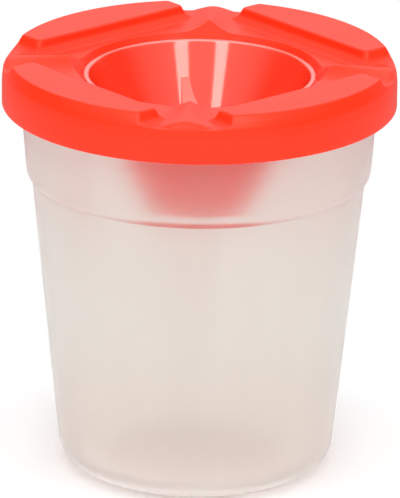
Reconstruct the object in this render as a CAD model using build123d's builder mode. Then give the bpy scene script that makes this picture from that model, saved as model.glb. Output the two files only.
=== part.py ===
from build123d import *
import os
from math import radians, sqrt, tan

# A paint cup with a press-on lid. The cup is a frosted tumbler. The lid is one
# coloured moulding: a skirt, a top plate with four raised pads, four notches with
# brush rests between them, and a funnel that hangs down into the cup.
# Millimetres, +Z up, origin at the centre of the base. The brush rests lie on X and Y.

# Cup, outside
cup_height = 82.3
base_radius = 27.6          # where the wall's line would meet the table
wall_draft = 5.85           # degrees the wall leans outward
base_corner = 5.5
step_height = 60.0          # where the wall turns out to the wider upper band
step_out = 1.15
step_rise = 1.7
step_corner = 1.0
band_draft = 4.6            # degrees

# Cup, inside and underneath
cup_wall = 1.1
base_thickness = 1.4
foot_width = 5.2            # standing ring between the corner and the raised middle
foot_recess = 0.7

# Cup rim, the flange that the lid's skirt reaches over
rim_overhang = 1.2
rim_thickness = 1.5
rim_round = 0.45

# Lid, skirt and top plate, which rests on the cup's rim
skirt_clearance = 1.045     # between the cup's flange and the skirt
lid_wall = 1.2
skirt_height = 7.1          # from the skirt's lower edge up to the top plate's face
shoulder_round = 2.0
skirt_edge = 0.35

# Inner bead that holds the lid under the cup's flange
bead_clearance = 0.2
bead_height = 1.2
bead_lift = 1.5             # from the skirt's lower edge up to the middle of the bead

# Raised pads and the square well between them
pad_height = 2.7
pad_depth = 11.6            # from the skirt's outer face in to a pad's straight edge
pad_inset = 1.5             # pad's top edge inside the skirt's outer face
pad_splay = 9.0             # degrees its ends open outward in plan
notch_half = 6.6            # half the gap between two pads' inner corners
pad_draft = 20.0            # degrees
pad_round = 0.6
pad_sink = 1.0              # pads and ridges run this far down into the shoulder
pad_hollow_margin = 0.6     # keeps the hollow under a pad clear of the rim's seat

# Brush rests: a ridge in each notch with a groove on both sides
ridge_setback = 2.5         # from the funnel's mouth out to the foot of the ridge's gable
ridge_lean = 1.3            # how far the gable leans back over its height
ridge_height = 1.9          # at the gable
ridge_end_height = 1.1      # at the rim
ridge_end_inset = 1.2       # foot of the ridge's outer end inside the skirt's face
ridge_half_width = 5.4
ridge_sink = 0.5
flank_width_share = 0.36    # where the flank's hollow is deepest
flank_height_share = 0.36

# Funnel
well_width = 5.3            # from the pads' straight edges in to the funnel's mouth
mouth_lip = 0.55            # flat lip round the mouth
mouth_depth = 1.3           # how far the lip lies below the plate
mouth_wall_lean = 0.5       # the wall from the plate down to the lip leans by this much
mouth_round = 0.4
funnel_depth = 27.8         # from the lip to the funnel's lower end
funnel_hole = 8.75          # radius of the opening at the lower end
funnel_wall = 1.1
funnel_root = 1.6           # thickening where the funnel hangs from the plate
funnel_edge = 0.35

# Flat-faced wedge on the funnel's wall
wedge_azimuth = 103.0       # degrees from +X
wedge_top = 7.5             # below the lip
wedge_length = 11.0
wedge_top_width = 1.7
wedge_left = 1.4            # from the wedge's middle line to its lower corners
wedge_right = 6.0
wedge_top_proud = 0.25
wedge_low_proud = 0.75
wedge_sink = 0.5

# One overrun serves every cut
overrun = 5.0

rests = 4
quarter = 360 / rests
eighth = quarter / 2


def corner(sketch, across, up):
    """The corner of a half-section that lies nearest to a point."""
    return sketch.vertices().sort_by_distance((across, up, 0))[0]


def wall_radius(height):
    """Outer radius of the cup's lower wall, by height."""
    return base_radius + height * tan(radians(wall_draft))


# Cup: one turned half-section
step_top = step_height + step_rise
band_low_radius = wall_radius(step_height) + step_out
band_run = cup_height - step_top
band_top_radius = band_low_radius + band_run * tan(radians(band_draft))
rim_radius = band_top_radius + rim_overhang
rim_underside = cup_height - rim_thickness
rim_underside_radius = band_top_radius - rim_thickness * tan(radians(band_draft))
foot_outer = base_radius - base_corner
foot_inner = foot_outer - foot_width

with BuildPart() as cup:
    with BuildSketch(Plane.XZ) as cup_section:
        with BuildLine():
            Polyline(
                (0, foot_recess),
                (foot_inner, foot_recess),
                (foot_inner + foot_recess, 0),
                (base_radius, 0),
                (wall_radius(step_height), step_height),
                (band_low_radius, step_top),
                (rim_underside_radius, rim_underside),
                (rim_radius, rim_underside),
                (rim_radius, cup_height),
                (band_top_radius - cup_wall, cup_height),
                (band_low_radius - cup_wall, step_top + cup_wall / 2),
                (wall_radius(step_height) - cup_wall, step_height + cup_wall / 2),
                (wall_radius(base_thickness) - cup_wall, foot_recess + base_thickness),
                (0, foot_recess + base_thickness),
                close=True,
            )
        make_face()
        fillet(corner(cup_section, base_radius, 0), base_corner)
        inner_corner = (wall_radius(base_thickness) - cup_wall, foot_recess + base_thickness)
        fillet(corner(cup_section, *inner_corner), base_corner - cup_wall)
        for across, up in (
            (wall_radius(step_height), step_height),
            (band_low_radius, step_top),
            (band_low_radius - cup_wall, step_top + cup_wall / 2),
            (wall_radius(step_height) - cup_wall, step_height + cup_wall / 2),
        ):
            fillet(corner(cup_section, across, up), step_corner)
        fillet(corner(cup_section, rim_radius, rim_underside), rim_round)
        fillet(corner(cup_section, rim_radius, cup_height), rim_round)
        fillet(corner(cup_section, band_top_radius - cup_wall, cup_height), rim_round)
    revolve(axis=Axis.Z)

cup.part.label = "cup"


# Lid: a turned shell, then pads, ridges and the wedge
skirt_inner = rim_radius + skirt_clearance
lid_radius = skirt_inner + lid_wall
pad_chord = lid_radius - pad_depth
pad_half_length = pad_chord - notch_half * sqrt(2)
mouth_radius = pad_chord - well_width
plate_top = cup_height + lid_wall
pad_top = plate_top + pad_height
skirt_low = plate_top - skirt_height
bead_radius = rim_radius + bead_clearance
bead_middle = skirt_low + bead_lift
lip_height = plate_top - mouth_depth
lip_outer = mouth_radius + mouth_lip
mouth_edge = lip_outer + mouth_wall_lean
funnel_low = lip_height - funnel_depth
funnel_slope = (mouth_radius - funnel_hole) / funnel_depth
funnel_thick = funnel_wall * sqrt(1 + funnel_slope**2)
root_height = lip_height - funnel_root


def funnel_radius(depth):
    """Inner radius of the funnel, by depth below its lip."""
    return mouth_radius - depth * funnel_slope


root_radius = funnel_radius(funnel_root) + funnel_thick
plate_root = mouth_edge + funnel_thick
hole_outer = funnel_hole + funnel_thick
pad_top_radius = lid_radius - pad_inset
pad_widening = pad_depth * tan(radians(pad_splay))
seat_inner = band_top_radius - cup_wall - pad_hollow_margin


def pad_outline(margin, reach):
    """Outline of one pad's top, drawn inward by a margin and cut to a radius."""
    with BuildSketch(mode=Mode.PRIVATE) as outline:
        with BuildLine():
            Polyline(
                (pad_chord + margin, -pad_half_length + margin),
                (lid_radius, -pad_half_length - pad_widening + margin),
                (lid_radius, pad_half_length + pad_widening - margin),
                (pad_chord + margin, pad_half_length - margin),
                close=True,
            )
        make_face()
        Circle(reach, mode=Mode.INTERSECT)
    return outline.sketch


def ridge_section(height, half_width, bottom):
    """A pointed section with hollow flanks, standing on a base that is let in."""
    flank = (half_width * flank_width_share, height * flank_height_share)
    with BuildSketch(mode=Mode.PRIVATE) as section:
        with BuildLine():
            right = ThreePointArc((0, height), flank, (half_width, 0))
            low = Polyline(
                right @ 1,
                (half_width, -bottom),
                (-half_width, -bottom),
                (-half_width, 0),
            )
            ThreePointArc(low @ 1, (-flank[0], flank[1]), (0, height))
        make_face()
    return section.sketch


with BuildPart() as lid:
    with BuildSketch(Plane.XZ) as lid_section:
        with BuildLine():
            Polyline(
                (lid_radius, skirt_low),
                (lid_radius, plate_top),
                (mouth_edge, plate_top),
                (lip_outer, lip_height),
                (mouth_radius, lip_height),
                (funnel_hole, funnel_low),
                (hole_outer, funnel_low),
                (root_radius, root_height),
                (plate_root, cup_height),
                (skirt_inner, cup_height),
                (skirt_inner, bead_middle + bead_height / 2),
                (bead_radius, bead_middle),
                (skirt_inner, bead_middle - bead_height / 2),
                (skirt_inner, skirt_low),
                close=True,
            )
        make_face()
        fillet(corner(lid_section, lid_radius, plate_top), shoulder_round)
        fillet(corner(lid_section, mouth_edge, plate_top), mouth_round)
        fillet(corner(lid_section, funnel_hole, funnel_low), funnel_edge)
        fillet(corner(lid_section, hole_outer, funnel_low), funnel_edge)
        fillet(corner(lid_section, lid_radius, skirt_low), skirt_edge)
    revolve(axis=Axis.Z)

    # Pads: blocks with sloping sides, one between each two notches
    for turn in range(rests):
        pad_plane = Plane.XY.offset(pad_top).rotated((0, 0, eighth + turn * quarter))
        with BuildSketch(pad_plane):
            add(pad_outline(0, pad_top_radius))
        extrude(amount=-(pad_height + pad_sink), taper=-pad_draft)
    fillet(lid.edges().filter_by_position(Axis.Z, pad_top, pad_top), pad_round)

    # Hollows under the pads, inside the seat on the cup's rim
    for turn in range(rests):
        hollow_plane = Plane.XY.offset(pad_top - lid_wall).rotated((0, 0, eighth + turn * quarter))
        with BuildSketch(hollow_plane):
            add(pad_outline(lid_wall, seat_inner))
        extrude(amount=-(pad_height + overrun), mode=Mode.SUBTRACT)

    # Ridges: pointed bars that run from the well out over the rim
    for turn in range(rests):
        outward = Vector(1, 0, 0).rotate(Axis.Z, turn * quarter)
        across = Vector(0, 1, 0).rotate(Axis.Z, turn * quarter)
        up = Vector(0, 0, 1)
        gable = Plane(
            origin=outward * (mouth_radius + ridge_setback) + up * plate_top,
            x_dir=across,
            z_dir=outward * ridge_height - up * ridge_lean,
        )
        end = Plane(
            origin=outward * (lid_radius - ridge_end_inset) + up * plate_top,
            x_dir=across,
            z_dir=outward,
        )
        with BuildSketch(gable):
            add(ridge_section(sqrt(ridge_height**2 + ridge_lean**2), ridge_half_width, ridge_sink))
        with BuildSketch(end):
            add(ridge_section(ridge_end_height, ridge_half_width, ridge_sink))
        loft()

    # Wedge on the funnel's wall, flat towards the axis and wider below
    around = Plane.XY.rotated((0, 0, wedge_azimuth))
    top_wall = funnel_radius(wedge_top)
    low_wall = funnel_radius(wedge_top + wedge_length)
    with BuildSketch(around.offset(lip_height - wedge_top)):
        with BuildLine():
            Polyline(
                (top_wall - wedge_top_proud, -wedge_top_width / 2),
                (top_wall + wedge_sink, -wedge_top_width / 2),
                (top_wall + wedge_sink, wedge_top_width / 2),
                (top_wall - wedge_top_proud, wedge_top_width / 2),
                close=True,
            )
        make_face()
    with BuildSketch(around.offset(lip_height - wedge_top - wedge_length)):
        with BuildLine():
            Polyline(
                (low_wall - wedge_low_proud, -wedge_right),
                (low_wall + wedge_sink, -wedge_right),
                (low_wall + wedge_sink, wedge_left),
                (low_wall - wedge_low_proud, wedge_left),
                close=True,
            )
        make_face()
    loft()

lid.part.label = "lid"

os.makedirs("parts", exist_ok=True)
export_step(cup.part, "parts/cup.step")
export_step(lid.part, "parts/lid.step")
print("lid radius", round(lid_radius, 3), "funnel mouth", round(mouth_radius, 3), "height", pad_top)
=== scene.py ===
import math

import bpy
import numpy as np
from mathutils import Matrix, Vector


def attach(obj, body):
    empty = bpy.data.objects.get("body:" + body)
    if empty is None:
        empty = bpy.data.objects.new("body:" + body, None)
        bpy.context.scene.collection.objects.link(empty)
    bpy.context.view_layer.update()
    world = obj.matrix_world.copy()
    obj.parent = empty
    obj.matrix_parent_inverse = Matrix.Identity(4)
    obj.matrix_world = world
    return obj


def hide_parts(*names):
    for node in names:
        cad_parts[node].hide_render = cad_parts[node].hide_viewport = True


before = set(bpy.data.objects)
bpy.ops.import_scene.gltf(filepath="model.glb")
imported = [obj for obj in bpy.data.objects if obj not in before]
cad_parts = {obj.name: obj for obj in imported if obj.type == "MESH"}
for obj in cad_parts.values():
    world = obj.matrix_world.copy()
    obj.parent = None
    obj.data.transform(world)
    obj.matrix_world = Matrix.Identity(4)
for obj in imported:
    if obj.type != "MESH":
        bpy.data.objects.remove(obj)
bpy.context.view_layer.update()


# Cup.
# A thin-walled tumbler, injection moulded in one shot from unfilled polypropylene.
# Its walls lean outward, turn out by a small step into a wider band near the top,
# and end in a thin flange that the lid snaps over.

MM = 0.001                 # sizes are in millimetres up to the mesh

CUP_HEIGHT = 82.3
CUP_FOOT = 27.6            # radius where the wall's line meets the table
CUP_DRAFT = math.tan(math.radians(5.85))
CUP_WALL = 1.1
CUP_FLOOR = 2.1            # height of the floor inside
FLOOR_FLAT = 12.0          # the floor's last ring before its middle
FOOT_ROUND = 5.5
BASE_RING, BASE_RAISED = 17.6, 0.7     # the underside is raised inside this radius
CUP_STEP = 61.1
STEP_OUT, STEP_RISE = 1.07, 0.9
STEP_NOOK, STEP_BROW = 0.6, 2.4        # its turns outside, lower and upper
STEP_LOWER, STEP_HIGHER, STEP_EASE = 0.8, 1.3, 5.0     # inside it is longer and softer
BAND_DRAFT = math.tan(math.radians(4.6))
FLANGE_OUT, FLANGE_DEEP = 1.2, 1.5
RIM_ROUND = 0.45
EDGE_ROUND = 0.3
CUP_AROUND, CUP_ALONG = 256, 4.0       # points round each ring, and most between two rings


def rounded(corners, steps=7):
    """A line through corners given as (across, up, radius), each corner turned on its radius."""
    points = [np.array(corners[0][:2], float)]
    for before, here, after in zip(corners, corners[1:], corners[2:]):
        at = np.array(here[:2], float)
        radius = here[2]
        into = np.array(before[:2], float) - at
        away = np.array(after[:2], float) - at
        into, away = into / np.linalg.norm(into), away / np.linalg.norm(away)
        if radius == 0:
            points.append(at)
            continue
        half = math.acos(float(np.clip(into @ away, -1, 1))) / 2
        middle = into + away
        centre = at + middle / np.linalg.norm(middle) * radius / math.sin(half)
        start = at + into * radius / math.tan(half) - centre
        stop = at + away * radius / math.tan(half) - centre
        sweep = math.pi - 2 * half
        for k in range(steps + 1):
            share = k / steps
            turn = start * math.sin((1 - share) * sweep) + stop * math.sin(share * sweep)
            points.append(centre + turn / math.sin(sweep))
    points.append(np.array(corners[-1][:2], float))
    return np.array(points)


def finer(points, longest):
    """The same line with its long straight runs divided."""
    out = [points[0]]
    for a, b in zip(points, points[1:]):
        parts = max(1, math.ceil(float(np.linalg.norm(b - a)) / longest))
        for k in range(1, parts + 1):
            out.append(a + (b - a) * k / parts)
    return np.array(out)


def turned(line, around):
    """Rings round the axis from a half-section, as an array of rows of points."""
    angles = np.linspace(0, 2 * math.pi, around, endpoint=False)
    across, up = line[:, 0][:, None], line[:, 1][:, None]
    return np.stack(
        [across * np.cos(angles), across * np.sin(angles), up + 0 * angles], axis=-1
    )


def woven(rows, closed=False):
    """Faces between rings of equal length, each joined to the next, the last to the first if closed."""
    rings, count = rows.shape[:2]
    faces = []
    for ring in range(rings if closed else rings - 1):
        low, high = ring * count, (ring + 1) % rings * count
        for k in range(count):
            after = (k + 1) % count
            faces.append((low + k, low + after, high + after, high + k))
    return faces


def piece_from(name, points, faces):
    """A smooth-shaded mesh object from points in millimetres."""
    mesh = bpy.data.meshes.new(name)
    mesh.from_pydata((np.asarray(points, float) * MM).tolist(), [], faces)
    mesh.validate()
    mesh.shade_smooth()
    piece = bpy.data.objects.new(name, mesh)
    bpy.context.scene.collection.objects.link(piece)
    return piece


def wall_at(height):
    """The outer radius of the wall below the step."""
    return CUP_FOOT + height * CUP_DRAFT


step_top = CUP_STEP + STEP_RISE
band_low = wall_at(CUP_STEP) + STEP_OUT
band_top = band_low + (CUP_HEIGHT - CUP_STEP - STEP_RISE) * BAND_DRAFT
flange_under = CUP_HEIGHT - FLANGE_DEEP
flange_root = band_top - FLANGE_DEEP * BAND_DRAFT

# From the raised middle underneath, up the outside, over the rim and down inside to the floor
cup_section = rounded([
    (BASE_RING - BASE_RAISED, BASE_RAISED, 0),
    (BASE_RING, 0, EDGE_ROUND),
    (CUP_FOOT, 0, FOOT_ROUND),
    (wall_at(CUP_STEP), CUP_STEP, STEP_NOOK),
    (band_low, step_top, STEP_BROW),
    (flange_root, flange_under, EDGE_ROUND),
    (band_top + FLANGE_OUT, flange_under, RIM_ROUND),
    (band_top + FLANGE_OUT, CUP_HEIGHT, RIM_ROUND),
    (band_top - CUP_WALL, CUP_HEIGHT, RIM_ROUND),
    (band_low - CUP_WALL, step_top + STEP_HIGHER, STEP_EASE),
    (wall_at(CUP_STEP) - CUP_WALL, CUP_STEP - STEP_LOWER, STEP_EASE),
    (wall_at(CUP_FLOOR - BASE_RAISED) - CUP_WALL, CUP_FLOOR, FOOT_ROUND - CUP_WALL),
    (FLOOR_FLAT, CUP_FLOOR, 0),
])
cup_rows = turned(finer(cup_section, CUP_ALONG), CUP_AROUND)
cup_faces = woven(cup_rows)
cup_points = cup_rows.reshape(-1, 3).tolist()
last_ring = len(cup_points) - CUP_AROUND
cup_points += [(0, 0, BASE_RAISED), (0, 0, CUP_FLOOR)]
below, inside = len(cup_points) - 2, len(cup_points) - 1
for k in range(CUP_AROUND):
    after = (k + 1) % CUP_AROUND
    cup_faces.append((after, k, below))
    cup_faces.append((last_ring + k, last_ring + after, inside))
cup = piece_from("cup_tumbler", cup_points, cup_faces)


def linear(hex_colour):
    """The scene's linear colour for an sRGB hex value."""
    parts = [int(hex_colour[i:i + 2], 16) / 255 for i in (1, 3, 5)]
    return [c / 12.92 if c <= 0.04045 else ((c + 0.055) / 1.055) ** 2.4 for c in parts] + [1.0]


def add(tree, kind, inputs=None, **settings):
    """One node, with its settings and its inputs as values or links."""
    node = tree.nodes.new(kind)
    for name, value in settings.items():
        setattr(node, name, value)
    for name, value in (inputs or {}).items():
        if isinstance(value, bpy.types.NodeSocket):
            tree.links.new(value, node.inputs[name])
        else:
            node.inputs[name].default_value = value
    return node


def blank(name):
    """A material with an empty node tree."""
    material = bpy.data.materials.new(name)
    material.use_nodes = True
    material.node_tree.nodes.clear()
    return material


# Polypropylene, moulded against a blasted tool: milky and see-through, it blurs what
# stands behind it more the further away that is, and its skin has a soft wide gloss.
SHEEN_STREAK_WIDE = 9.1            # painted sheen: lighter, clearer streaks drawn out along the wall, for the lamps' faint vertical sheen on it
SHEEN_STREAK_DRAWN = 0.06
CUP_GRAIN = 0.4            # the tool's is about 0.05, too fine to show, so it is drawn coarser
WARM_BELOW, CLEAR_ABOVE = 8, 36        # heights: the milk colour is warmer and darker below the first, lighter above the second
frosted = blank("frosted_polypropylene")
tree = frosted.node_tree
place = add(tree, "ShaderNodeTexCoord").outputs["Object"]
drawn = add(tree, "ShaderNodeMapping", {"Vector": place, "Scale": (1, 1, SHEEN_STREAK_DRAWN)})
sheen_streaks = add(tree, "ShaderNodeTexNoise", {
    "Vector": drawn.outputs[0], "Scale": 1 / (SHEEN_STREAK_WIDE * MM), "Detail": 2.0})
height = add(tree, "ShaderNodeSeparateXYZ", {0: place})
# The milk colour is warmer and darker towards the bottom
towards_top = add(tree, "ShaderNodeMapRange", {
    "Value": height.outputs["Z"],
    "From Min": WARM_BELOW * MM,
    "From Max": CLEAR_ABOVE * MM,
    "To Min": -0.2,
    "To Max": 0.8,
})
clearer = add(tree, "ShaderNodeMath", {
    0: sheen_streaks.outputs["Fac"], 1: 0.4, 2: towards_top.outputs[0]}, operation="MULTIPLY_ADD", use_clamp=True)
# The milky colour, lighter where the painted sheen streaks run
milk_and_sheen = add(tree, "ShaderNodeMix", {"Factor": clearer.outputs[0]}, data_type="RGBA")
milk_and_sheen.inputs[6].default_value = linear("#FCF4EF")
milk_and_sheen.inputs[7].default_value = linear("#FDFEFA")
grain = add(tree, "ShaderNodeTexNoise", {
    "Vector": place, "Scale": 1 / (CUP_GRAIN * MM), "Detail": 2.0})
bump = add(tree, "ShaderNodeBump", {
    "Height": grain.outputs["Fac"], "Strength": 0.05, "Distance": 0.2 * MM})
clear = add(tree, "ShaderNodeBsdfPrincipled", {
    "Base Color": milk_and_sheen.outputs[2],
    "Roughness": 0.3,
    "IOR": 1.49,
    "Transmission Weight": 1.0,
    "Normal": bump.outputs["Normal"],
})
cloudy = add(tree, "ShaderNodeBsdfTranslucent", {"Color": milk_and_sheen.outputs[2]})
cloudiness = add(tree, "ShaderNodeMapRange", {
    "Value": sheen_streaks.outputs["Fac"],
    "From Min": 0.3,
    "From Max": 0.7,
    "To Min": 0.17,
    "To Max": 0.29,
})
both = add(tree, "ShaderNodeMixShader", {
    "Fac": cloudiness.outputs[0], 1: clear.outputs[0], 2: cloudy.outputs[0]})
add(tree, "ShaderNodeOutputMaterial", {"Surface": both.outputs[0]})
cup.data.materials.append(frosted)

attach(cup, "cup")
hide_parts("cup")


# Lid.
# One moulding in red polyethylene: a skirt that snaps on the cup, a flat plate with four
# raised pads, a ridge in each notch between them for a brush to lie against, and a
# funnel that hangs down into the cup. The tool was satin, and polished inside the funnel.

LID_RADIUS = 40.0
PLATE = 83.5
SHOULDER = 2.0
PAD_TOP = 86.2
PAD_CHORD = 28.4           # from the axis to a pad's straight inner edge
PAD_HALF_X = 18.6          # from that edge's middle to the notches left and right
PAD_HALF_Y = 19.8          # and to the notches in front and behind
PAD_CORNER = 1.2           # how far the inner edge and the ends blend at a corner
PAD_EDGE = 0.24            # the same for the top and the outer wall
PAD_WALL = 1.2             # thickness round the hollow below a pad
HOLLOW_REACH = 34.85       # how far out the hollow runs
HOLLOW_SLANT = 0.5         # how far its sides lean
RIDGE_START, RIDGE_LONG = 26.9, 11.7
RIDGE_HIGH, RIDGE_FALL = 1.95, 0.5     # at its inner end, and less by this at the rim
RIDGE_SHARP, RIDGE_BLUNT = 0.3, 1.7    # roundness of the crest inside, and added at the rim
FLANK_CURVE, FLANK_FILL = 2.0, 0.65    # power of its hollow flanks, and less by this at the rim
VALLEY = 5.0               # from a ridge's crest across to the groove beside it
FLOOR_CURL, FLOOR_REACH = 0.03, 6      # how fast the notch's floor rises beyond the valley, and how far
FLOOR_SOFT, RIDGE_SOFT, BRINK_SOFT = 0.4, 0.25, 0.15   # how far such faces blend into others
GABLE_SLOPE = 1.03         # a ridge's inner face, cut off slantwise
GABLE_LIFT, GABLE_FLAT, GABLE_CURL = 0.1, 2.5, 0.12
GROOVE, GROOVE_AWAY = 82.05, 23.75     # the groove round the lip
BRINK_SLOPE = 1.55         # the groove's outer side
MOUTH = 22.35
LIP, LIP_WIDE = 82.65, 1.2
LIP_INNER, LIP_OUTER = 0.55, 0.38      # how the lip is rounded
LIP_GLOSS = 0.65           # how far down inside its gloss starts
MOUTH_FLARE = 0.12
FUNNEL_LOW, FUNNEL_HOLE = 54.4, 8.75
FUNNEL_WALL, FUNNEL_END = 1.24, 0.35
FUNNEL_SEAM = 0.5          # where the first and the last ring meet in its end face
SKIRT_LOW, SKIRT_IN, SKIRT_ROUND = 76.4, 38.8, 0.35
THIN_FROM = 0.3            # how far in under the skirt its look changes to the inside's
UNDER_OUT, UNDER_IN = 36.5, 26.0       # the plate's underside, where the hollows are
BEAD_IN, BEAD_AT, BEAD_HALF = 37.96, 77.9, 0.6


def soft_min(a, b, reach):
    """The lower of two heights, rounded where they meet."""
    share = np.clip(0.5 + 0.5 * (b - a) / reach, 0, 1)
    return b * (1 - share) + a * share - reach * share * (1 - share)


def soft_max(a, b, reach):
    """The higher of two heights, rounded where they meet."""
    return -soft_min(-a, -b, reach)


def along(line, where):
    """Height of a line that runs outward, at some distances."""
    order = np.argsort(line[:, 0])
    return np.interp(where, line[order, 0], line[order, 1])


# Slopes of a pad's walls above the plate: at its straight edge and at its ends
PAD_RISE = PAD_TOP - PLATE
chord_wall = rounded([
    (-8, -1.6, 0),
    (-2.3, 0, 2),
    (-0.5, 1.2, 1),
    (0, PAD_RISE, 0.7),
    (4, PAD_RISE, 0),
], 12)
end_wall = rounded([
    (-8, -1.6, 0),
    (-2.1, 0.1, 1.5),
    (-0.75, 0.95, 1),
    (0, PAD_RISE, 0.6),
    (4, PAD_RISE, 0),
], 12)

# The skirt draws in towards the top, more so on the pads than at the ridges
WAIST = 81.3
outer_wall = rounded([
    (30, PAD_TOP, 0),
    (38.5, PAD_TOP, 0.7),
    (39.22, 84.9, 4),
    (39.82, 83.4, 4),
    (LID_RADIUS, WAIST, 0),
], 12)
ridge_outer = rounded([
    (30, 86.6, 0),
    (38.75, 85.3, 0.9),
    (39.5, 83.6, 3),
    (39.97, 82, 1),
    (LID_RADIUS, WAIST, 0),
], 12)


def half_length(turn):
    """Half the length of the pad's inner edge, on the side of the nearest notch."""
    return np.where(np.round(turn / (math.pi / 2)) % 2 == 0, PAD_HALF_X, PAD_HALF_Y)


def top_height(x, y):
    """Height of the lid's upper face, from the mouth out to the skirt."""
    away = np.hypot(x, y)
    turn = np.arctan2(y, x)
    to_rest = np.mod(turn + math.pi / 4, math.pi / 2) - math.pi / 4
    to_pad = np.mod(turn, math.pi / 2) - math.pi / 4
    out, aside = away * np.cos(to_rest), np.abs(away * np.sin(to_rest))
    deep, wide = away * np.cos(to_pad), np.abs(away * np.sin(to_pad))

    drop = np.clip(away - LID_RADIUS + SHOULDER, 0, SHOULDER)
    shoulder = PLATE - SHOULDER + np.sqrt(np.clip(SHOULDER**2 - drop**2, 0, None))

    chord, ends = deep - PAD_CHORD, half_length(turn) - wide
    inside = soft_min(chord, ends, PAD_CORNER)
    lean = np.clip(0.5 + (ends - chord) / (2 * PAD_CORNER), 0, 1)
    notch_floor = FLOOR_CURL * np.clip(aside - VALLEY, 0, FLOOR_REACH) ** 2
    end = soft_max(along(end_wall, inside), notch_floor, FLOOR_SOFT)
    pad = PLATE + along(chord_wall, inside) * lean + end * (1 - lean)
    pad = soft_min(pad + PAD_EDGE / 4, along(outer_wall, away) + PAD_EDGE / 4, PAD_EDGE)

    share = np.clip((out - RIDGE_START) / RIDGE_LONG, 0, 1)
    blunt = RIDGE_SHARP + RIDGE_BLUNT * share
    flank = np.clip(1 - (np.sqrt(aside**2 + blunt**2) - blunt) / VALLEY, 0, 1)
    ridge = (RIDGE_HIGH - RIDGE_FALL * share) * flank ** (FLANK_CURVE - FLANK_FILL * share)
    ridge = soft_min(shoulder + ridge, along(ridge_outer, away), RIDGE_SOFT)
    gable = GROOVE + GABLE_LIFT + (out - GROOVE_AWAY) * GABLE_SLOPE
    gable = gable + GABLE_CURL * np.clip(aside - GABLE_FLAT, 0, None) ** 2
    ridge = soft_min(ridge, gable, RIDGE_SOFT)

    brink = GROOVE + (away - GROOVE_AWAY) * BRINK_SLOPE
    return soft_min(soft_max(pad, ridge, RIDGE_SOFT), brink, BRINK_SOFT)


def under_height(x, y):
    """Height of the plate's underside, with a hollow below each pad."""
    away = np.hypot(x, y)
    to_pad = np.mod(np.arctan2(y, x), math.pi / 2) - math.pi / 4
    deep, wide = away * np.cos(to_pad), np.abs(away * np.sin(to_pad))
    inside = np.minimum(deep - PAD_CHORD - PAD_WALL, PAD_HALF_X - PAD_WALL - wide)
    inside = np.minimum(inside, HOLLOW_REACH - away)
    return CUP_HEIGHT + PAD_RISE * np.clip(inside / HOLLOW_SLANT, 0, 1)


# Columns bunch towards the ridges, and follow the pads' ends
PAD_END = math.atan2((PAD_HALF_X + PAD_HALF_Y) / 2, PAD_CHORD)
notch = math.pi / 4 - PAD_END
in_notch = np.linspace(0, 1, 34) ** 1.15 * notch
in_pad = notch + np.linspace(0, 1, 44)[1:] * PAD_END
half = np.concatenate([in_notch, in_pad])
whole = np.concatenate([half, math.pi / 2 - half[-2:0:-1]])
base_angles = np.concatenate([whole + k * math.pi / 2 for k in range(4)])
from_middle = np.mod(base_angles, math.pi / 2) - math.pi / 4
base_to_pad, side = np.abs(from_middle), np.sign(from_middle)
pad_half = half_length(base_angles)
pad_share = base_to_pad / PAD_END
circle = np.stack([np.cos(base_angles), np.sin(base_angles)], axis=-1)

# Rows follow the mouth's circle, the pads' straight edges and the skirt's circle
corner_away = np.hypot(PAD_CHORD, pad_half)
edge_away = np.where(
    pad_share < 1, PAD_CHORD / np.cos(pad_share * np.arctan2(pad_half, PAD_CHORD)), corner_away)
FIELD_START, RIM_START = 25.3, LID_RADIUS - SHOULDER
groove_rows = np.linspace(GROOVE_AWAY + 0.06, FIELD_START, 16)[:-1]
well_rows = np.linspace(0, 1, 46)
pad_rows = np.linspace(0, 1, 22)[1:]
rim_rows = RIM_START + SHOULDER * np.sin(np.linspace(0, math.pi / 2, 30))[1:]
field = [np.full_like(base_angles, away) for away in groove_rows]
field += [FIELD_START + (edge_away - FIELD_START) * share for share in well_rows]
field += [edge_away + (RIM_START - edge_away) * share for share in pad_rows]
field += [np.full_like(base_angles, away) for away in rim_rows]


def field_row(away):
    """A ring of plan positions at some distances, its columns drawn to the pads' ends."""
    end = np.arcsin(pad_half / np.maximum(away, corner_away))
    moved = np.where(
        pad_share <= 1,
        pad_share * end,
        end + (base_to_pad - PAD_END) / notch * (math.pi / 4 - end),
    )
    angle = base_angles - from_middle + side * moved
    return np.stack([away * np.cos(angle), away * np.sin(angle)], axis=-1)


def ring(across, up):
    """A ring of points round the axis, in the lid's columns."""
    return np.concatenate([circle * across, np.full((len(circle), 1), up)], axis=1)


# One closed row of rings: up the funnel's inside and over the lip, out over the pads, down
# the skirt, back in below the plate, and down the funnel's outside
mouth_line = finer(rounded([
    (FUNNEL_HOLE + FUNNEL_SEAM, FUNNEL_LOW, 0),
    (FUNNEL_HOLE, FUNNEL_LOW, FUNNEL_END),
    (MOUTH + MOUTH_FLARE, LIP, LIP_INNER),
    (MOUTH + LIP_WIDE, LIP, LIP_OUTER),
    (MOUTH + LIP_WIDE + 0.05, GROOVE, 0.1),
    (GROOVE_AWAY, GROOVE, 0),
], 8), 1.2)
skirt_line = finer(rounded([
    (LID_RADIUS, PLATE - SHOULDER - 0.4, 0),
    (LID_RADIUS, SKIRT_LOW, SKIRT_ROUND),
    (SKIRT_IN, SKIRT_LOW, 0.2),
    (SKIRT_IN, BEAD_AT - BEAD_HALF, 0.2),
    (BEAD_IN, BEAD_AT, 0.2),
    (SKIRT_IN, BEAD_AT + BEAD_HALF, 0.2),
    (SKIRT_IN, CUP_HEIGHT, 0.3),
    (37.0, CUP_HEIGHT, 0),
], 5), 1.5)
funnel_line = finer(rounded([
    (25.4, CUP_HEIGHT, 0),
    (24.9, CUP_HEIGHT, 0.3),
    (23.5, 80.6, 1.0),
    (FUNNEL_HOLE + FUNNEL_WALL, FUNNEL_LOW, FUNNEL_END),
    (FUNNEL_HOLE + FUNNEL_SEAM, FUNNEL_LOW, 0),
], 5), 2.5)[:-1]

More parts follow.
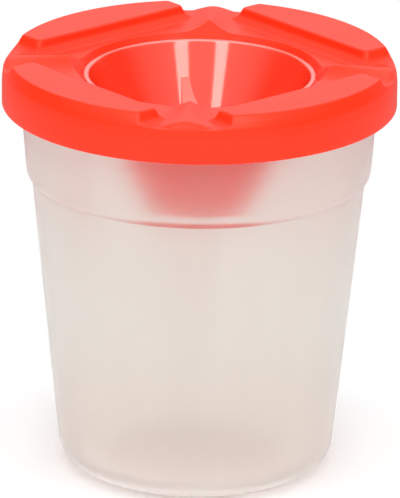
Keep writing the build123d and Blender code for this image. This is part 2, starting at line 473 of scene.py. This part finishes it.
rows = [ring(across, up) for across, up in mouth_line]
for away in field:
    plan = field_row(away)
    rows.append(np.concatenate([plan, top_height(plan[:, 0], plan[:, 1])[:, None]], axis=1))
rows += [ring(across, up) for across, up in skirt_line]
for away in np.linspace(UNDER_OUT, UNDER_IN, 44):
    plan = circle * away
    rows.append(np.concatenate([plan, under_height(plan[:, 0], plan[:, 1])[:, None]], axis=1))
rows += [ring(across, up) for across, up in funnel_line]
lid_rows = np.array(rows)
lid_points = lid_rows.reshape(-1, 3).tolist()
lid_faces = [tuple(reversed(face)) for face in woven(lid_rows, closed=True)]
wedge_first = len(lid_faces)

# A small wedge stands proud of the funnel's wall, where the core has a flat recess ground in.
# Each row: how far below its top, its left and right edge, and how proud it is.
WEDGE_TURN = math.radians(103)         # round the axis, from the right
WEDGE_TOP, WEDGE_LONG = LIP - 7.0, 11.0
WEDGE_BEVEL, WEDGE_ROOT = 0.06, 0.5
WEDGE_SHAPE = (
    (0, -0.9, 0.8, 0.25),
    (0.25 * WEDGE_LONG, -0.95, 1.45, 0.47),
    (0.6 * WEDGE_LONG, -1.1, 3.0, 0.78),
    (WEDGE_LONG, -1.3, 5.3, 1.15),
)
funnel_lean = (MOUTH + MOUTH_FLARE - FUNNEL_HOLE) / (LIP - FUNNEL_LOW)
wedge = []
for drop, left, right, proud in WEDGE_SHAPE:
    up = WEDGE_TOP - drop
    wall = FUNNEL_HOLE + (up - FUNNEL_LOW) * funnel_lean
    root, face = wall + WEDGE_ROOT, wall - proud
    corners = (
        (left, root), (left + WEDGE_BEVEL, face), (right - WEDGE_BEVEL, face), (right, root))
    for across, away in corners:
        wedge.append((
            away * math.cos(WEDGE_TURN) + across * math.sin(WEDGE_TURN),
            away * math.sin(WEDGE_TURN) - across * math.cos(WEDGE_TURN),
            up,
        ))
start, last = len(lid_points), len(lid_points) + len(wedge) - 4
lid_points += wedge
lid_faces += [(start, start + 3, start + 2, start + 1), (last, last + 1, last + 2, last + 3)]
for row in range(start, last, 4):
    for edge in range(4):
        a, b = row + edge, row + (edge + 1) % 4
        lid_faces.append((a, b, b + 4, a + 4))
lid = piece_from("lid_moulding", lid_points, lid_faces)

# Polyethylene as it comes off the different faces of one tool. Some light always comes
# through it, most where the wall is thin. Each row: name, colour, least and most roughness,
# grain, gloss, tint of the gloss, clear skin, share of light that comes through.
# It is one plastic, but its colour is lighter on the funnel, the lip, the wedge and inside than on the
# blasted faces: painted light, for the light and sheen those faces catch.
FINISHES = (
    # The blasted faces: strong even red, whitened by a wide soft gloss where seen at a slant
    ("satin_polyethylene", "#FF300C", 0.34, 0.42, 0.08, 0.42, "#FFF0E2", 0.0, 0.1),
    # The funnel's core was polished, so its wall mirrors the lamps as soft stripes; its lighter colour
    # is painted light
    ("polished_polyethylene", "#FF472A", 0.08, 0.11, 0.0, 0.9, "#FFF8F0", 0.0, 0.36),
    # The lip was moulded in a polished ring, and its thin edge shines the most; its lighter colour adds
    # a painted highlight
    ("glossy_polyethylene", "#FF5238", 0.14, 0.18, 0.0, 1.0, "#FFF8F0", 1.0, 0.3),
    # The wedge has the ground finish of that recess, duller than the wall beside it; its lighter colour
    # is a painted pink sheen
    ("ground_polyethylene", "#FF4A2A", 0.24, 0.28, 0.05, 0.8, "#FFF8F0", 0.0, 0.3),
    # Inside the lid daylight comes red through the thin wall, and its slightly lighter colour paints in
    # more of that glow
    ("thin_wall_polyethylene", "#FF3A14", 0.40, 0.48, 0.08, 0.5, "#FFFFFF", 0.0, 0.8),
)
SATIN, POLISHED, GLOSSY, GROUND, THIN_WALL = range(5)
LID_GRAIN = 0.56           # drawn coarser than the tool's 0.05, as on the cup
PATCHES = 11.1             # wide duller and shinier patches, from how the melt filled the tool
for name, colour, smooth, rough, relief, gloss, tint, skin, through in FINISHES:
    plastic = blank(name)
    tree = plastic.node_tree
    place = add(tree, "ShaderNodeTexCoord").outputs["Object"]
    grain = add(tree, "ShaderNodeTexNoise", {
        "Vector": place, "Scale": 1 / (LID_GRAIN * MM), "Detail": 2.0})
    bump = add(tree, "ShaderNodeBump", {
        "Height": grain.outputs["Fac"], "Strength": relief, "Distance": 0.1 * MM})
    patches = add(tree, "ShaderNodeTexNoise", {
        "Vector": place, "Scale": 1 / (PATCHES * MM), "Detail": 3.0})
    dull = add(tree, "ShaderNodeMapRange", {
        "Value": patches.outputs["Fac"], "To Min": smooth, "To Max": rough})
    red = add(tree, "ShaderNodeBsdfPrincipled", {
        "Base Color": linear(colour),
        "Roughness": dull.outputs[0],
        "IOR": 1.5,
        "Specular IOR Level": gloss,
        "Specular Tint": linear(tint),
        "Coat Weight": skin,
        "Coat Roughness": 0.1,
        "Coat IOR": 2.2,
        "Normal": bump.outputs["Normal"],
    })
    lit_through = add(tree, "ShaderNodeBsdfTranslucent", {"Color": linear(colour)})
    both = add(tree, "ShaderNodeMixShader", {
        "Fac": through, 1: red.outputs[0], 2: lit_through.outputs[0]})
    add(tree, "ShaderNodeOutputMaterial", {"Surface": both.outputs[0]})
    lid.data.materials.append(plastic)

# Which row of faces has which finish, counted up the funnel, over the pads and down again
lip_row = int(np.argmax(mouth_line[:, 1] > LIP - LIP_GLOSS))
groove_row = len(mouth_line) - 3       # before the lip's outer foot
skirt_turned = int(np.argmax(skirt_line[:, 0] < LID_RADIUS - THIN_FROM))
skirt_row = len(mouth_line) + len(field) + skirt_turned
for polygon in lid.data.polygons:
    row = polygon.index // len(circle)
    if polygon.index >= wedge_first:
        polygon.material_index = GROUND
        polygon.use_smooth = False
    elif row < lip_row:
        polygon.material_index = POLISHED
    elif row < groove_row:
        polygon.material_index = GLOSSY
    elif row >= skirt_row:
        polygon.material_index = THIN_WALL
    else:
        polygon.material_index = SATIN

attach(lid, "lid")
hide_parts("lid")


# Floor.
# A wide pale table top, painted matt. It keeps the cup's soft shadow, and away from the cup
# it runs out to the white that stands behind the object.
WIDE = 4000
FADE_FROM, FADE_TO = 30, 58            # from the cup's axis
corners = [(-WIDE, -WIDE, 0), (WIDE, -WIDE, 0), (WIDE, WIDE, 0), (-WIDE, WIDE, 0)]
floor = piece_from("floor", corners, [(0, 1, 2, 3)])
pale = blank("matt_painted_table_top")
tree = pale.node_tree
lit = add(tree, "ShaderNodeBsdfDiffuse", {"Color": linear("#FCFCFC")})
white = add(tree, "ShaderNodeEmission", {"Color": (1, 1, 1, 1), "Strength": 1.0})
path = add(tree, "ShaderNodeLightPath")
place = add(tree, "ShaderNodeTexCoord").outputs["Object"]
far = add(tree, "ShaderNodeVectorMath", {0: place}, operation="LENGTH")
fade = add(tree, "ShaderNodeMapRange", {
    "Value": far.outputs["Value"], "From Min": FADE_FROM * MM, "From Max": FADE_TO * MM})
seen = add(tree, "ShaderNodeMath", {
    0: path.outputs["Is Camera Ray"], 1: fade.outputs[0]}, operation="MULTIPLY")
both = add(tree, "ShaderNodeMixShader", {
    "Fac": seen.outputs[0], 1: lit.outputs[0], 2: white.outputs[0]})

# What the lid's gloss mirrors of it: bright near the cup and in front, dimmer beside and behind
SIDE_FROM, SIDE_TO = -50, 100
SHEET_FROM, SHEET_TO = 190, 240
spot = add(tree, "ShaderNodeSeparateXYZ", {0: place})
across = add(tree, "ShaderNodeMath", {0: spot.outputs["X"]}, operation="ABSOLUTE")
slant = add(tree, "ShaderNodeMath", {0: across.outputs[0], 1: spot.outputs["Y"]}, operation="ADD")
sides = add(tree, "ShaderNodeMapRange", {
    "Value": slant.outputs[0],
    "From Min": SIDE_FROM * MM,
    "From Max": SIDE_TO * MM,
    "To Min": 0.95,
    "To Max": 0.4,
})
near = add(tree, "ShaderNodeMapRange", {
    "Value": far.outputs["Value"],
    "From Min": SHEET_FROM * MM,
    "From Max": SHEET_TO * MM,
    "To Min": 1.1,
    "To Max": 0.0,
})
sheet = add(tree, "ShaderNodeMath", {0: sides.outputs[0], 1: near.outputs[0]}, operation="MAXIMUM")
mirrored = add(tree, "ShaderNodeEmission", {"Color": (1, 1, 1, 1), "Strength": sheet.outputs[0]})
both = add(tree, "ShaderNodeMixShader", {
    "Fac": path.outputs["Is Glossy Ray"], 1: both.outputs[0], 2: mirrored.outputs[0]})

# Through the cup it is as white as the background
both = add(tree, "ShaderNodeMixShader", {
    "Fac": path.outputs["Is Transmission Ray"], 1: both.outputs[0], 2: white.outputs[0]})
add(tree, "ShaderNodeOutputMaterial", {"Surface": both.outputs[0]})
pale.cycles.emission_sampling = "NONE"
floor.data.materials.append(pale)


# Room and lamps.
# A white room: even light from all sides, white boards for the gloss to mirror, and white
# seen behind and through the cup.
room = bpy.data.worlds.new("room")
bpy.context.scene.world = room
room.use_nodes = True
room.cycles.sampling_method = "NONE"
tree = room.node_tree
tree.nodes.clear()
path = add(tree, "ShaderNodeLightPath")
way = add(tree, "ShaderNodeSeparateXYZ", {0: add(tree, "ShaderNodeTexCoord").outputs["Generated"]})
aside = add(tree, "ShaderNodeMath", {0: way.outputs["X"]}, operation="ABSOLUTE")
x, y, z = aside.outputs[0], way.outputs["Y"], way.outputs["Z"]
ramps = {}
for name, along_axis, low, high, at_low, at_high, easing in (
        ("sides", x, 0.5, 0.8, 0.0, 1.0, "SMOOTHSTEP"),
        ("behind", y, 0.45, 0.85, 0.0, 0.85, "SMOOTHSTEP"),
        ("rising", z, 0.05, 0.33, 0.2, 1.2, "SMOOTHSTEP"),
        ("above", z, 0.6, 0.85, 0.0, 1.5, "SMOOTHSTEP"),
        ("high", z, 0.25, 0.5, 0.0, 1.0, "SMOOTHSTEP"),
        ("before", y, -0.85, 0.15, 1.95, 0.2, "LINEAR"),
        ("low", z, 0.3, 0.8, 0.65, 0.0, "SMOOTHSTEP"),
):
    ramps[name] = add(tree, "ShaderNodeMapRange", {
        "Value": along_axis, "From Min": low, "From Max": high, "To Min": at_low, "To Max": at_high},
        interpolation_type=easing).outputs[0]

# The boards: one behind the cup, one above it between the sides, and a canopy in front
board = add(tree, "ShaderNodeMath", {0: ramps["behind"], 1: ramps["rising"]}, operation="MULTIPLY")
between = add(tree, "ShaderNodeMath", {0: 1.0, 1: ramps["sides"]}, operation="SUBTRACT")
above = add(tree, "ShaderNodeMath", {0: ramps["above"], 1: between.outputs[0]}, operation="MULTIPLY")
canopy = add(tree, "ShaderNodeMath", {0: ramps["high"], 1: ramps["before"]}, operation="MULTIPLY")
boards = add(tree, "ShaderNodeMath", {0: board.outputs[0], 1: above.outputs[0]}, operation="ADD")
boards = add(tree, "ShaderNodeMath", {0: boards.outputs[0], 1: canopy.outputs[0]}, operation="ADD")
boards = add(tree, "ShaderNodeMath", {0: boards.outputs[0], 1: 0.08}, operation="ADD")

# The even light, less of it from low at the sides
dim = add(tree, "ShaderNodeMath", {0: ramps["sides"], 1: ramps["low"]}, operation="MULTIPLY")
fill = add(tree, "ShaderNodeMath", {0: 0.8, 1: dim.outputs[0]}, operation="SUBTRACT")

even = add(tree, "ShaderNodeBackground", {"Color": (1, 1, 1, 1), "Strength": fill.outputs[0]})
shine = add(tree, "ShaderNodeBackground", {"Color": (1, 1, 1, 1), "Strength": boards.outputs[0]})
backdrop = add(tree, "ShaderNodeBackground", {"Color": (1, 1, 1, 1), "Strength": 1.0})
both = add(tree, "ShaderNodeMixShader", {
    "Fac": path.outputs["Is Glossy Ray"], 1: even.outputs[0], 2: shine.outputs[0]})
seen = add(tree, "ShaderNodeMath", {
    0: path.outputs["Is Camera Ray"], 1: path.outputs["Is Transmission Ray"]}, operation="MAXIMUM")
both = add(tree, "ShaderNodeMixShader", {
    "Fac": seen.outputs[0], 1: both.outputs[0], 2: backdrop.outputs[0]})
add(tree, "ShaderNodeOutputWorld", {"Surface": both.outputs[0]})

# Soft boxes that look at the cup, by their direction in degrees, distance and size in metres
# and power in watts. Two tall narrow ones are only mirrored, as the stripes in the funnel.
# The broad ones above, beside and in front add light and aren't mirrored.
CUP_MIDDLE = Vector((0, 0, 0.07))
for name, azimuth, elevation, away, wide, high, power, is_mirrored in (
        ("strip_left", -21.5, 34, 1.2, 0.25, 0.4, 2.8, True),
        ("strip_right", 26, 34, 1.2, 0.27, 0.4, 2.9, True),
        ("overhead", 4, 80, 1.3, 0.6, 0.5, 5.0, False),
        ("side_left", -68, 28, 1.2, 0.5, 0.5, 4.0, False),
        ("side_right", 76, 28, 1.2, 0.5, 0.5, 4.0, False),
        ("front", 4, 25, 1.2, 0.5, 0.4, 3.0, False),
):
    box = bpy.data.lights.new(name, "AREA")
    box.shape = "RECTANGLE"
    box.size, box.size_y = wide, high
    box.energy = power
    a, e = math.radians(azimuth), math.radians(elevation)
    towards = Vector((math.sin(a) * math.cos(e), -math.cos(a) * math.cos(e), math.sin(e)))
    stand = bpy.data.objects.new(name, box)
    stand.location = CUP_MIDDLE + towards * away
    stand.rotation_euler = (-towards).to_track_quat("-Z", "Y").to_euler()
    stand.visible_diffuse, stand.visible_glossy = not is_mirrored, is_mirrored
    bpy.context.scene.collection.objects.link(stand)


# Camera.
# It stands 1.5 m away with a long lens, somewhat above the cup and a little to its right.
LOOK_AT, AWAY = Vector((0, 0, 0.045)), 1.5
TO_THE_RIGHT = 0.00049
azimuth, elevation, roll = math.radians(4), math.radians(19.19), math.radians(0.71)
back = Vector((
    math.sin(azimuth) * math.cos(elevation),
    -math.cos(azimuth) * math.cos(elevation),
    math.sin(elevation),
))
right = Vector((math.cos(azimuth), math.sin(azimuth), 0))
tilted_right = right * math.cos(roll) + back.cross(right) * math.sin(roll)
tilted_up = back.cross(tilted_right)
eye = bpy.data.cameras.new("camera")
eye.lens, eye.sensor_width = 531.97, 36.0
eye.clip_end = 50
camera = bpy.data.objects.new("camera", eye)
camera.matrix_world = Matrix.Translation(LOOK_AT + back * AWAY + tilted_right * TO_THE_RIGHT) @ Matrix(
    (tilted_right, tilted_up, back)).transposed().to_4x4()
bpy.context.scene.collection.objects.link(camera)
bpy.context.scene.camera = camera
bpy.context.scene.view_settings.view_transform = "Standard"
